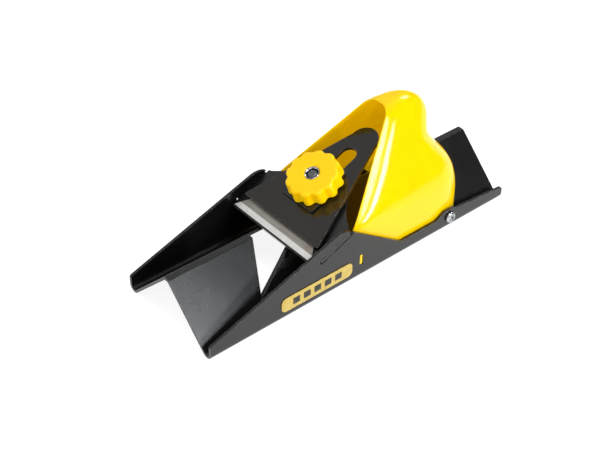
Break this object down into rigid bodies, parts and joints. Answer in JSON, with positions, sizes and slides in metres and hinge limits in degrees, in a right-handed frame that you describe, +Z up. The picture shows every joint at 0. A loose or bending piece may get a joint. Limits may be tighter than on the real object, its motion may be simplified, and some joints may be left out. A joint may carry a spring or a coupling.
{
  "type": "hand plane",
  "caption": "Chamfer hand plane: folded V sole between two walls, inclined trapezoid blade under a knob clamp, hollow palm handle.",
  "frame": {"origin": "on the floor, midway along the sole and between the two walls", "axes": "+X from the toe to the heel, +Y to the far wall, +Z up"},
  "size_m": [0.2, 0.0722, 0.073],
  "materials": {
    "sole_paint": "satin black stoved enamel on folded sheet steel",
    "clamp_paint": "gloss black enamel on sheet steel",
    "pressure_paint": "gloss black enamel",
    "blade_steel": "ground and hardened, brighter at the bevel",
    "stud_steel": "plain steel thread",
    "zinc_plate": "bright zinc plating",
    "yellow_plastic": "glossy moulded plastic",
    "label_foil": "printed gold foil label, unlettered"
  },
  "bodies": {
    "frame": {"body": "sole_paint", "bed_plate": "sole_paint", "clamp_stud": "stud_steel", "handle": "yellow_plastic", "handle_screw_near": "zinc_plate", "handle_screw_far": "zinc_plate", "label_near": "label_foil", "label_far": "label_foil"},
    "cutter": {"blade": "blade_steel"},
    "clamp": {"clamp_plate": "clamp_paint"},
    "pressure": {"pressure_plate": "pressure_paint"},
    "knob_unit": {"knob": "yellow_plastic", "knob_insert": "zinc_plate"}
  },
  "joints": [
    {"name": "blade_depth", "type": "slide", "parent": "frame", "child": "cutter", "axis": [0.9157, 0, 0.4019], "range_m": [-0.003, 0.01]},
    {"name": "clamp_slide", "type": "slide", "parent": "frame", "child": "clamp", "axis": [0.9157, 0, 0.4019], "range_m": [-0.02, 0.004]},
    {"name": "pressure_lift", "type": "slide", "parent": "frame", "child": "pressure", "axis": [-0.4019, 0, 0.9157], "range_m": [0, 0.002]},
    {"name": "knob_turn", "type": "hinge", "parent": "pressure", "child": "knob_unit", "pos_m": [-0.00418, 0, 0.03783], "axis": [-0.4019, 0, 0.9157], "range_deg": [0, 720]}
  ],
  "couplings": [
    {"joint": "pressure_lift", "follows": "knob_turn", "m_per_rad": 0.00015915}
  ]
}
